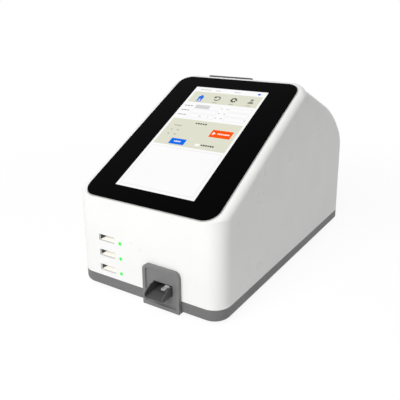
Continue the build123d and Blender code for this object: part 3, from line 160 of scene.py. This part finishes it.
def uneven_gloss(tree, shader, low, high, size_mm):
    """Roughness that wanders between two values, as handling and moulding leave it."""
    noise = add_node(
        tree, "ShaderNodeTexNoise", {"Scale": per_metre(size_mm), "Detail": 2.0},
        {"Vector": place_of(tree)},
    )
    spread = add_node(
        tree, "ShaderNodeMapRange", {"From Min": 0.3, "From Max": 0.7, "To Min": low, "To Max": high},
        {"Value": noise.outputs["Fac"]},
    )
    tree.links.new(spread.outputs["Result"], shader.inputs["Roughness"])


def moulded_abs(name, light, dark, rough, grain_mm, depth_mm):
    """Injection moulded ABS: even colour, a soft sheen and the mould's fine grain."""
    material, tree, shader = finish(name, light, Roughness=rough, IOR=1.53)
    mottle(tree, shader, light, dark, 45.0)
    uneven_gloss(tree, shader, rough - 0.03, rough + 0.05, 30.0)
    grain(tree, shader, grain_mm, depth_mm)
    return material


def sheet_metal(name, light, dark, rough, streak_mm, stretch):
    """Rolled or ground metal: bright, with fine streaks along the way it was worked."""
    material, tree, shader = finish(name, light, Metallic=1.0, Roughness=rough)
    mottle(tree, shader, light, dark, streak_mm, stretch, 4.0)
    uneven_gloss(tree, shader, rough - 0.06, rough + 0.08, 12.0)
    grain(tree, shader, streak_mm / 2, 0.01, 0.25, stretch)
    return material


def cover_glass_finish():
    """Toughened glass printed black from behind, with an anti-reflection coat: deep black, faint gloss."""
    material, tree, shader = finish("black_backed_glass", "#020203", Roughness=0.05, IOR=1.5)
    shader.inputs["Specular IOR Level"].default_value = COATED_GLOSS
    uneven_gloss(tree, shader, 0.04, 0.07, 60.0)
    return material


def seal_finish():
    """Closed-cell foam: pale, dull, with tiny pores."""
    material, tree, shader = finish("pale_seal_foam", "#C8C8C4", Roughness=0.85)
    mottle(tree, shader, "#CDCDC9", "#BDBDB8", 1.2)
    grain(tree, shader, 0.4, 0.05, 0.5)
    return material


def screen_module_finish():
    """The module's black bezel and back film: smooth and nearly black."""
    material, tree, shader = finish("screen_module_film", "#101112", Roughness=0.3, IOR=1.5)
    mottle(tree, shader, "#131415", "#0C0D0E", 20.0)
    return material


def rubber_finish():
    """Moulded nitrile rubber: near black, dull, faintly dusty."""
    material, tree, shader = finish("moulded_rubber", "#1E1E1E", Roughness=0.78, IOR=1.52)
    mottle(tree, shader, "#242424", "#181818", 6.0)
    grain(tree, shader, 0.5, 0.03)
    return material


def circuit_board_finish():
    """Glass-epoxy board under green solder mask: traces show as fine lighter lines."""
    material, tree, shader = finish("green_solder_mask", "#0E5A2E", Roughness=0.35, IOR=1.5)
    bricks = add_node(
        tree, "ShaderNodeTexBrick",
        {"Scale": per_metre(10.0), "Color1": linear("#0D5229"), "Color2": linear("#115F33"),
         "Mortar": linear("#2A8A52"), "Mortar Size": 0.02, "Brick Width": 0.7, "Row Height": 0.16},
        {"Vector": place_of(tree)},
    )
    tree.links.new(bricks.outputs["Color"], shader.inputs["Base Color"])
    grain(tree, shader, 1.0, 0.02, 0.2)
    return material


def card_bed_painted_light_finish():
    """Cream moulded plastic, satin, with painted light: a weak glow of its own stands in for the light
    reaching its recess.
    """
    material, tree, shader = finish("cream_card_bed_painted_light", "#F6F1E8", Roughness=0.4, IOR=1.5)
    mottle(tree, shader, "#F8F3EA", "#F0EAE0", 14.0)
    # painted light: this glow stands in for the light that reaches the slot floors
    shader.inputs["Emission Color"].default_value = linear("#F6F0E6")
    shader.inputs["Emission Strength"].default_value = BED_PAINTED_LIGHT
    return material


def green_light_finish():
    """A clear light pipe with a green lamp behind it: an even bright green."""
    material, tree, shader = finish("lit_green_pipe", "#19B52E", Roughness=0.25, IOR=1.49)
    mottle(tree, shader, "#1DBB34", "#15A628", 3.0)
    shader.inputs["Emission Color"].default_value = linear("#30F048")
    shader.inputs["Emission Strength"].default_value = PIPE_GLOW
    return material


def clear_glass_finish(name, colour, tint_dark):
    """Polished optical glass: clear, sharp reflections, tinted in the filter."""
    material, tree, shader = finish(name, colour, Roughness=0.02, IOR=1.52)
    shader.inputs["Transmission Weight"].default_value = 0.9
    mottle(tree, shader, colour, tint_dark, 12.0)
    return material


def paper_finish():
    """Thermal paper on its roll: matt white, its wound edges show as rings about the core."""
    material, tree, shader = finish("thermal_paper", "#F1F0EC", Roughness=0.8)
    mottle(tree, shader, "#F3F2EE", "#E6E5E0", 0.6, (8, 1, 1))
    grain(tree, shader, 0.3, 0.02, 0.3)
    return material


def lit_screen(name, colour, shade):
    """One colour of the lit screen behind the glass: it shines by itself and keeps the glass's gloss."""
    material, tree, shader = finish(name, "#000000", Roughness=0.08, IOR=1.5)
    shader.inputs["Specular IOR Level"].default_value = COATED_GLOSS
    noise = add_node(
        tree, "ShaderNodeTexNoise", {"Scale": per_metre(40.0), "Detail": 1.0}, {"Vector": place_of(tree)}
    )
    ramp = add_node(tree, "ShaderNodeValToRGB", links={"Fac": noise.outputs["Fac"]})
    ramp.color_ramp.elements[0].color = linear(shade)
    ramp.color_ramp.elements[1].color = linear(colour)
    tree.links.new(ramp.outputs["Color"], shader.inputs["Emission Color"])
    shader.inputs["Emission Strength"].default_value = 1.0
    return material


def node_finishes():
    """The finish of each CAD node."""
    white = moulded_abs("white_satin_abs", "#F2F2F1", "#F0F0EF", 0.3, 1.5, 0.001)
    grey = moulded_abs("grey_grained_abs", "#6E6E6E", "#696969", 0.5, 0.7, 0.02)
    door = moulded_abs("mid_grey_grained_abs", "#777777", "#727272", 0.48, 0.7, 0.02)
    charcoal = moulded_abs("charcoal_grained_abs", "#4A4A4B", "#444445", 0.5, 0.7, 0.02)
    pale = moulded_abs("pale_grey_abs", "#A8A8A7", "#A0A09F", 0.42, 0.8, 0.01)
    black = moulded_abs("black_grained_nylon", "#1C1C1D", "#171718", 0.48, 0.8, 0.02)
    zinc = sheet_metal("zinc_plated_sheet", "#B9BCBE", "#A3A7AA", 0.36, 4.0, (1, 0.2, 1))
    steel = sheet_metal("ground_steel", "#C6C6C5", "#AFAFAE", 0.26, 1.5, (0.1, 1, 1))
    lacquered = moulded_abs("black_lacquered_steel", "#222224", "#1B1B1D", 0.38, 1.0, 0.01)
    milled = sheet_metal("milled_aluminium", "#D2D3D4", "#BFC1C3", 0.3, 1.2, (1, 0.15, 1))
    anodised = moulded_abs("black_anodised_aluminium", "#202124", "#191A1C", 0.4, 0.8, 0.01)
    brass = sheet_metal("machined_brass", "#C9A45A", "#B08C45", 0.28, 1.2, (1, 1, 0.2))
    board = circuit_board_finish()
    rubber = rubber_finish()
    return {
        "upper_housing": white, "base_tray": grey, "rubber_feet": rubber, "base_screws": steel,
        "cover_glass": cover_glass_finish(), "glass_seal": seal_finish(),
        "display_panel": screen_module_finish(), "display_bracket": zinc, "bracket_screws": steel,
        "door_surround": door, "card_tray": charcoal, "card_clip": pale, "clip_pin": steel,
        "tray_guide": black, "deck_plate": zinc, "deck_screws": steel, "tray_pinion": brass,
        "motor_shaft": steel, "tray_motor": lacquered, "motor_mount": zinc,
        "reading_head": anodised,
        "objective_lens": clear_glass_finish("optical_glass", "#EEF4F6", "#E2ECEF"),
        "emission_filter": clear_glass_finish("amber_filter_glass", "#D9592B", "#C94B22"),
        "excitation_lamp": milled, "light_sensor": board, "head_bridge": zinc,
        "slot_rack": charcoal, "slot_beds": card_bed_painted_light_finish(), "slot_heaters": milled,
        "status_lights": green_light_finish(), "light_board": board, "main_board": board,
        "board_standoffs": brass, "power_supply": zinc, "cooling_fan": black, "fan_rotor": black,
        "power_inlet": black, "inlet_pins": brass, "switch_frame": black, "switch_rocker": black,
        "usb_sockets": steel, "network_socket": steel, "printer_bucket": charcoal,
        "printer_lid": charcoal, "lid_pin": steel, "platen_roller": rubber, "platen_shaft": steel,
        "print_head": milled, "tear_bar": steel, "paper_roll": paper_finish(),
    }


def dress(node, material):
    """Gives a CAD node its finish."""
    if not node.data.materials:
        node.data.materials.append(material)
    for place in node.material_slots:
        place.material = material


def on_slope(x, u, w):
    """A point given across, up and out of the slope in mm, as a row frame point in metres."""
    y = SLOPE_FOOT[0] + u * math.cos(SLOPE_ANGLE) - w * math.sin(SLOPE_ANGLE)
    z = SLOPE_FOOT[1] + u * math.sin(SLOPE_ANGLE) + w * math.cos(SLOPE_ANGLE)
    return Vector((x, y, z)) * MM


def rocker_face(upper):
    """A function that puts a point on the upper or lower half of the rocker's face."""
    side = 1 if upper else -1
    dip = Vector((0, *ROCKER_DIP))
    crest = Vector((0, ROCKER_CREST[0], side * ROCKER_CREST[1]))
    turn = Quaternion((1, 0, 0), ROCKER_TILT)
    along = (crest - dip).normalized()
    out = Vector((0, abs(along.z), -along.y * side))
    middle = (dip + crest) / 2

    def place(x, u, w):
        point = middle + Vector((-x, 0, 0)) + along * side * u + out * w
        return (Vector(ROCKER_PIVOT) + turn @ point) * MM

    return place


def bar(x0, x1, u0, u1, corner=0.0):
    """A rectangle's outline with rounded corners."""
    if corner == 0:
        return [(x0, u0), (x1, u0), (x1, u1), (x0, u1)]
    outline = []
    for x, u, start in ((x1, u0, -90), (x1, u1, 0), (x0, u1, 90), (x0, u0, 180)):
        cx = x - corner if x == x1 else x + corner
        cu = u - corner if u == u1 else u + corner
        for step in range(5):
            angle = math.radians(start + step * 22.5)
            outline.append((cx + corner * math.cos(angle), cu + corner * math.sin(angle)))
    return outline


def framed(x0, x1, u0, u1, line):
    """Four thin bars that make a rectangle's frame."""
    return [
        bar(x0, x1, u0, u0 + line), bar(x0, x1, u1 - line, u1),
        bar(x0, x0 + line, u0 + line, u1 - line), bar(x1 - line, x1, u0 + line, u1 - line),
    ]


def arc_band(x, u, inner, outer, start, end, steps=28):
    """A band between two radii, from one angle to another."""
    angles = [math.radians(start + (end - start) * i / steps) for i in range(steps + 1)]
    far = [(x + outer * math.cos(a), u + outer * math.sin(a)) for a in angles]
    near = [(x + inner * math.cos(a), u + inner * math.sin(a)) for a in reversed(angles)]
    return far + near


def disc(x, u, radius, flat=1.0):
    """A round spot, flattened by a factor."""
    angles = [math.radians(i * 15) for i in range(24)]
    return [(x + radius * math.cos(a), u + radius * flat * math.sin(a)) for a in angles]


def cog(x, u, radius, hole, teeth=8):
    """A toothed wheel with a hole, as one outline with a hairline cut."""
    rim = []
    for i in range(teeth):
        for part, reach in ((-0.28, 0.78), (-0.2, 1.0), (0.2, 1.0), (0.28, 0.78)):
            angle = math.radians((i + part) * 360 / teeth)
            rim.append((x + radius * reach * math.cos(angle), u + radius * reach * math.sin(angle)))
    first = math.radians(-0.28 * 360 / teeth)
    angles = [first - math.radians(i * 12) for i in range(1, 30)]
    return rim + [(x + hole * math.cos(a), u + hole * math.sin(a)) for a in angles]


def word(x0, x1, u, height, letters):
    """A neutral stand-in for a word: a row of small rounded blobs."""
    pitch = (x1 - x0) / letters
    wide = pitch * 0.72
    rows = []
    for i in range(letters):
        tall = height * (0.8 + 0.2 * ((i * 5) % 3) / 2)
        left = x0 + i * pitch
        rows.append(bar(left, left + wide, u - tall / 2, u + tall / 2, min(wide, tall) * 0.3))
    return rows


def thin_shapes(name, outlines, low, high, material, place, body, slot):
    """One mesh of flat prisms on a surface, from outlines in mm."""
    mesh = bmesh.new()
    for outline in outlines:
        below = [mesh.verts.new(place(x, u, low)) for x, u in outline]
        above = [mesh.verts.new(place(x, u, high)) for x, u in outline]
        mesh.faces.new(above)
        mesh.faces.new(list(reversed(below)))
        count = len(outline)
        for i in range(count):
            j = (i + 1) % count
            mesh.faces.new((below[i], below[j], above[j], above[i]))
    bmesh.ops.recalc_face_normals(mesh, faces=mesh.faces)
    data = bpy.data.meshes.new(name)
    mesh.to_mesh(data)
    mesh.free()
    data.materials.append(material)
    piece = bpy.data.objects.new(name, data)
    bpy.context.scene.collection.objects.link(piece)
    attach(piece, body)
    return piece


def house(x, u):
    """The home pictogram: a roof over walls with a doorway."""
    return [
        [(x - 4.6, u - 0.4), (x + 4.6, u - 0.4), (x, u + 5.4)],
        bar(x - 3.2, x - 1.0, u - 6.4, u - 0.4), bar(x + 1.0, x + 3.2, u - 6.4, u - 0.4),
        bar(x - 1.0, x + 1.0, u - 2.4, u - 0.4),
    ]


def return_arrow(x, u):
    """The history pictogram: an open ring with an arrow head."""
    return [
        arc_band(x, u, 2.9, 4.2, -150, 150),
        [(x - 5.8, u + 1.0), (x - 1.6, u + 1.0), (x - 3.7, u + 4.4)],
    ]


def person(x, u):
    """The account pictogram: a head over shoulders."""
    return [disc(x, u + 2.4, 2.0), arc_band(x, u - 4.6, 0.3, 4.2, 12, 168)]


def screen_page():
    """The page on the lit screen, in layers just over the glass."""
    white = lit_screen("lit_white", "#FDFDFD", "#FAFAFA")
    beige = lit_screen("lit_beige", "#E2E2D1", "#DFDFCD")
    grey = lit_screen("lit_pale_grey", "#D7D7D9", "#D2D2D5")
    line = lit_screen("lit_line_grey", "#E4E4EA", "#DFDFE6")
    mid = lit_screen("lit_mid_grey", "#8E8E8A", "#858581")
    dark = lit_screen("lit_dark_grey", "#33342F", "#2C2D29")
    blue = lit_screen("lit_blue", "#0A74EE", "#0669E4")
    orange = lit_screen("lit_orange", "#FF5A05", "#FA5200")
    layer = [GLASS_TOP + edge for edge in LAYER_EDGES]

    def show(name, outlines, level, material):
        thin_shapes(
            name, outlines, layer[level], layer[level + 1], material, on_slope, "housing", "screen"
        )

    show("screen_page", [bar(*PAGE)], 0, white)
    show("screen_blocks", [bar(*HEADER), bar(*START_BLOCK)], 1, beige)
    show("screen_filled_field", [bar(-29.8, -10.2, 156.6, 163.2, 0.4)], 1, grey)
    lines = framed(*LOWER_FRAME, FRAME_LINE)
    for level in ROW_LEVELS:
        for field in (LEFT_FIELD, RIGHT_FIELD):
            lines += framed(*field, level - FIELD_BELOW, level + FIELD_ABOVE, FIELD_LINE)
    show("screen_lines", lines, 1, line)
    marks = []
    for level, letters in zip(ROW_LEVELS, (3, 3, 6)):
        marks += word(-45.4, -33.0, level, 1.7, letters)
        marks += word(6.0, 8.2, level, 1.5, 1)
        marks += word(13.0, 15.4, level, 1.5, 2)
    marks += word(-16.0, -12.6, ROW_LEVELS[2], 1.3, 3)
    marks += word(-4.0, -2.6, ROW_LEVELS[2], 1.6, 1)
    marks += word(-41.5, -26.1, STATUS_LEVEL + 0.1, 1.2, 9)
    marks += word(-19.0, -12.6, STATUS_LEVEL, 1.3, 5)
    marks += word(6.9, 15.4, STATUS_LEVEL, 1.1, 6)
    marks += [[(43.0, 144.6), (45.0, 144.6), (44.0, 143.2)]]
    show("screen_small_marks", marks, 1, mid)
    labels = word(-12.1, -6.0, LABEL_LEVEL, 1.3, 4) + word(10.2, 16.6, LABEL_LEVEL, 1.3, 4)
    labels += word(32.8, 39.2, LABEL_LEVEL + 0.5, 1.3, 4)
    labels += word(-38.0, -27.4, 123.4, 1.5, 6)
    labels += word(-38.0, -35.6, 115.6, 1.6, 2) + word(-29.6, -26.6, 115.6, 1.6, 2)
    labels += word(-38.0, -35.6, 108.2, 1.8, 2) + word(-29.6, -26.4, 108.2, 1.8, 2)
    show("screen_block_labels", labels + person(36.2, ICON_LEVEL + 0.6), 2, mid)
    dark_shapes = word(-12.3, 3.4, 130.4, 2.5, 5) + word(13.6, 31.0, 97.0, 2.6, 6)
    dark_shapes += return_arrow(-9.4, ICON_LEVEL) + [cog(13.2, ICON_LEVEL, 4.6, 2.0)]
    show("screen_pictograms", dark_shapes, 2, dark)
    home = house(-32.2, ICON_LEVEL - 0.6)
    home += word(-36.2, -28.2, LABEL_LEVEL - 0.4, 1.3, 4)
    home += [bar(-27.3, -7.2, 92.6, 101.9, 0.5), disc(40.0, STATUS_LEVEL, 2.0, 0.8)]
    show("screen_blue_shapes", home, 2, blue)
    show("screen_start_button", [bar(15.0, 41.6, 111.5, 123.6, 0.5)], 2, orange)
    bright = [[(17.4, 115.0), (21.4, 117.7), (17.4, 120.4)]]
    bright += word(23.6, 39.4, 117.8, 2.4, 7) + word(-22.0, -12.6, 97.3, 2.3, 4)
    bright += [bar(6.2, 12.6, 94.6, 98.2, 1.7)]
    show("screen_bright_marks", bright, 3, white)


def rocker_marks():
    """The on and off marks of the power rocker, printed in white on its two halves."""
    ink = finish("white_pad_print", "#E9E9E7", Roughness=0.5, IOR=1.5)[0]
    thin_shapes(
        "rocker_on_mark", [bar(-0.45, 0.45, -1.9, 1.9)], *INK_EDGES, ink, rocker_face(True),
        "power_rocker", "white_moulding",
    )
    thin_shapes(
        "rocker_off_mark", [arc_band(0, 0, 1.3, 2.0, 0, 359.5)], *INK_EDGES, ink, rocker_face(False),
        "power_rocker", "white_moulding",
    )


def seen_directly(tree):
    """One where a camera, mirror or glass ray looks, zero for the rays that carry light."""
    path = add_node(tree, "ShaderNodeLightPath")
    first = add_node(tree, "ShaderNodeMath", operation="MAXIMUM")
    tree.links.new(path.outputs["Is Camera Ray"], first.inputs[0])
    tree.links.new(path.outputs["Is Glossy Ray"], first.inputs[1])
    both = add_node(tree, "ShaderNodeMath", operation="MAXIMUM")
    tree.links.new(first.outputs[0], both.inputs[0])
    tree.links.new(path.outputs["Is Transmission Ray"], both.inputs[1])
    return both.outputs[0]


def studio_floor():
    """A plain pale floor that goes to white away from the object and keeps its soft shadow near it."""
    mesh = bmesh.new()
    bmesh.ops.create_grid(mesh, x_segments=8, y_segments=8, size=FLOOR_SIZE / 2)
    data = bpy.data.meshes.new("studio_floor")
    mesh.to_mesh(data)
    mesh.free()
    floor = bpy.data.objects.new("studio_floor", data)
    floor.location.z = -FLOOR_DROP * MM
    bpy.context.scene.collection.objects.link(floor)
    material = bpy.data.materials.new("pale_studio_floor")
    material.use_nodes = True
    tree = material.node_tree
    tree.nodes.clear()
    matt = add_node(tree, "ShaderNodeBsdfDiffuse", {"Color": linear(FLOOR_WHITE)})
    glow = add_node(tree, "ShaderNodeEmission", {"Color": (1, 1, 1, 1), "Strength": FLOOR_LEVEL})
    plain = add_node(tree, "ShaderNodeEmission", {"Color": (1, 1, 1, 1), "Strength": 1.0})
    kept = add_node(
        tree, "ShaderNodeMixShader", {"Fac": 1 - FLOOR_SHADOW_SHARE},
        {1: matt.outputs[0], 2: glow.outputs[0]},
    )
    reach = add_node(tree, "ShaderNodeVectorMath", links={0: place_of(tree)}, operation="LENGTH")
    far = add_node(
        tree, "ShaderNodeMapRange",
        {"From Min": SHADOW_NEAR, "From Max": SHADOW_FAR, "To Min": 0.0, "To Max": 1.0},
        {"Value": reach.outputs["Value"]}, interpolation_type="SMOOTHSTEP",
    )
    shown = add_node(
        tree, "ShaderNodeMixShader",
        links={"Fac": far.outputs["Result"], 1: kept.outputs[0], 2: plain.outputs[0]},
    )
    mixed = add_node(
        tree, "ShaderNodeMixShader",
        links={"Fac": seen_directly(tree), 1: matt.outputs[0], 2: shown.outputs[0]},
    )
    add_node(tree, "ShaderNodeOutputMaterial", links={"Surface": mixed.outputs[0]})
    data.materials.append(material)


def studio_sky():
    """An even pale surround that gives soft fill light and looks plain white."""
    world = bpy.data.worlds.new("studio_surround")
    world.use_nodes = True
    tree = world.node_tree
    tree.nodes.clear()
    fill = add_node(tree, "ShaderNodeBackground", {"Color": (1, 1, 1, 1), "Strength": SKY_LEVEL})
    white = add_node(tree, "ShaderNodeBackground", {"Color": (1, 1, 1, 1), "Strength": 1.0})
    mixed = add_node(
        tree, "ShaderNodeMixShader",
        links={"Fac": seen_directly(tree), 1: fill.outputs[0], 2: white.outputs[0]},
    )
    add_node(tree, "ShaderNodeOutputWorld", links={"Surface": mixed.outputs[0]})
    bpy.context.scene.world = world


def key_light():
    """One large soft light from the front and above."""
    light = bpy.data.lights.new("key_light", "AREA")
    light.energy = KEY_WATTS
    light.shape = "SQUARE"
    light.size = KEY_SIZE
    lamp = bpy.data.objects.new("key_light", light)
    way = Vector(KEY_FROM).normalized()
    lamp.location = way * KEY_DISTANCE + Vector((0, 0, KEY_AIM_HEIGHT))
    lamp.rotation_mode = "QUATERNION"
    lamp.rotation_quaternion = way.to_track_quat("Z", "Y")
    bpy.context.scene.collection.objects.link(lamp)


def photo_camera():
    """The camera at the photograph's viewing angle and distance."""
    data = bpy.data.cameras.new("photo_camera")
    data.lens = FOCAL_LENGTH
    data.sensor_width = SENSOR
    data.shift_x, data.shift_y = SHIFT
    data.clip_start = NEAR_CLIP
    camera = bpy.data.objects.new("photo_camera", data)
    camera.location = CAMERA_AT
    aim = Vector(CAMERA_AIM) - Vector(CAMERA_AT)
    roll = Quaternion((0, 0, 1), math.radians(CAMERA_ROLL))
    camera.rotation_mode = "QUATERNION"
    camera.rotation_quaternion = aim.to_track_quat("-Z", "Y") @ roll
    bpy.context.scene.collection.objects.link(camera)
    bpy.context.scene.camera = camera


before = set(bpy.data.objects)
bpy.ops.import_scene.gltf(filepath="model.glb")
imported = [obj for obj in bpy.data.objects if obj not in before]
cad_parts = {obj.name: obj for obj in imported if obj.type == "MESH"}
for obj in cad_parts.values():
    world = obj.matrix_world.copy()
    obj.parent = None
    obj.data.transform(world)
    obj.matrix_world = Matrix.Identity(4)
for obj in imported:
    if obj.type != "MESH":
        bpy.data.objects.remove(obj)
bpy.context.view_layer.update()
finishes = node_finishes()
for name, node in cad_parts.items():
    dress(node, finishes[name])
screen_page()
rocker_marks()
studio_floor()
studio_sky()
key_light()
photo_camera()
bpy.context.scene.view_settings.view_transform = "Standard"
